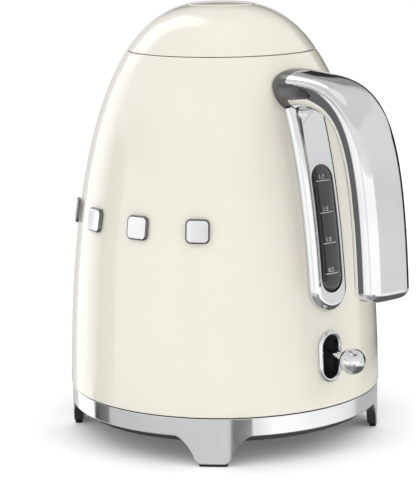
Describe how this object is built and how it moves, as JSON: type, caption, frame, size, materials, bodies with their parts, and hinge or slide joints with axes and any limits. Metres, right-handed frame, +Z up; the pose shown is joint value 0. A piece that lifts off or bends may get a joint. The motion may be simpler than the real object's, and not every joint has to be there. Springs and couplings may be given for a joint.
{
  "type": "electric kettle",
  "caption": "Domed cordless electric kettle on a round chrome power base with feet, with a chrome handle, water gauge, ball lever and hinged lid.",
  "frame": {"origin": "on the resting surface, under the middle of the whole object's length and width", "axes": "+Z up; +X from the spout to the handle; +Y to the side away from the badges. The kettle's own round axis is at x = -0.0242 m."},
  "size_m": [0.2289, 0.1804, 0.248],
  "materials": {
    "cream_paint": "gloss",
    "chrome": "polished",
    "steel": "satin",
    "black_plastic": "matte",
    "grey_plastic": "satin",
    "rubber": "matte",
    "silicone": "matte",
    "smoked_gauge": "gloss",
    "brass": "satin"
  },
  "bodies": {
    "power_base": {"base_ring": "chrome", "base_deck": "grey_plastic", "base_underplate": "black_plastic", "base_connector": "black_plastic", "cord_gland": "black_plastic", "foot_pad_1": "rubber", "foot_pad_2": "rubber", "foot_pad_3": "rubber", "foot_pad_4": "rubber", "base_screw_1": "steel", "base_screw_2": "steel", "base_screw_3": "steel"},
    "plug_socket": {"kettle_connector": "black_plastic"},
    "kettle": {"body_shell": "cream_paint", "spout": "cream_paint", "bottom_cover": "black_plastic", "bottom_screw_1": "steel", "bottom_screw_2": "steel", "bottom_screw_3": "steel", "heater_plate": "steel", "heater_seal": "silicone", "heating_element": "steel", "control_unit": "black_plastic", "steam_tube": "steel", "steam_switch": "black_plastic", "bimetal_disc": "brass", "lever_bezel": "chrome", "lever_housing": "black_plastic", "lever_pivot": "steel", "trip_pin": "steel", "handle_shell": "chrome", "handle_cover": "chrome", "handle_bracket": "steel", "handle_screw_1": "steel", "handle_screw_2": "steel", "gauge_bezel": "chrome", "gauge_window": "smoked_gauge", "gauge_gasket": "silicone", "badge_1": "chrome", "badge_2": "chrome", "badge_3": "chrome", "badge_4": "chrome", "neck_collar": "grey_plastic", "hinge_pin": "steel", "filter_frame": "grey_plastic", "filter_mesh": "steel"},
    "lever": {"lever_arm": "chrome", "lever_ball": "chrome"},
    "trip": {"trip_rocker": "grey_plastic"},
    "lid": {"lid_shell": "cream_paint", "lid_liner": "grey_plastic", "lid_seal": "silicone", "lid_screw_1": "steel", "lid_screw_2": "steel", "button_spring": "steel"},
    "button": {"lid_button": "cream_paint"},
    "latch": {"lid_latch": "grey_plastic", "latch_spring": "steel"}
  },
  "joints": [
    {"name": "kettle_lift", "type": "slide", "parent": "power_base", "child": "plug_socket", "axis": [0, 0, 1], "range_m": [0, 0.12]},
    {"name": "kettle_swivel", "type": "hinge", "parent": "plug_socket", "child": "kettle", "pos_m": [-0.0242, 0, 0.03], "axis": [0, 0, 1], "continuous": true},
    {"name": "lid_hinge", "type": "hinge", "parent": "kettle", "child": "lid", "pos_m": [0.0168, 0, 0.2219], "axis": [0, 1, 0], "range_deg": [0, 82]},
    {"name": "button_press", "type": "slide", "parent": "lid", "child": "button", "axis": [0, 0, -1], "range_m": [0, 0.003], "stiffness_N_per_m": 300, "springref_m": -0.004, "deforming": ["button_spring"]},
    {"name": "latch_slide", "type": "slide", "parent": "lid", "child": "latch", "axis": [1, 0, 0], "range_m": [0, 0.003]},
    {"name": "lever_tilt", "type": "hinge", "parent": "kettle", "child": "lever", "pos_m": [0.0438, 0, 0.061], "axis": [0, 1, 0], "range_deg": [0, 13]},
    {"name": "trip_tilt", "type": "hinge", "parent": "kettle", "child": "trip", "pos_m": [0.0258, 0, 0.0618], "axis": [0, 1, 0], "range_deg": [-13, 0]}
  ],
  "couplings": [
    {"joint": "latch_slide", "follows": "button_press", "ratio": 1},
    {"joint": "trip_tilt", "follows": "lever_tilt", "ratio": -1}
  ]
}
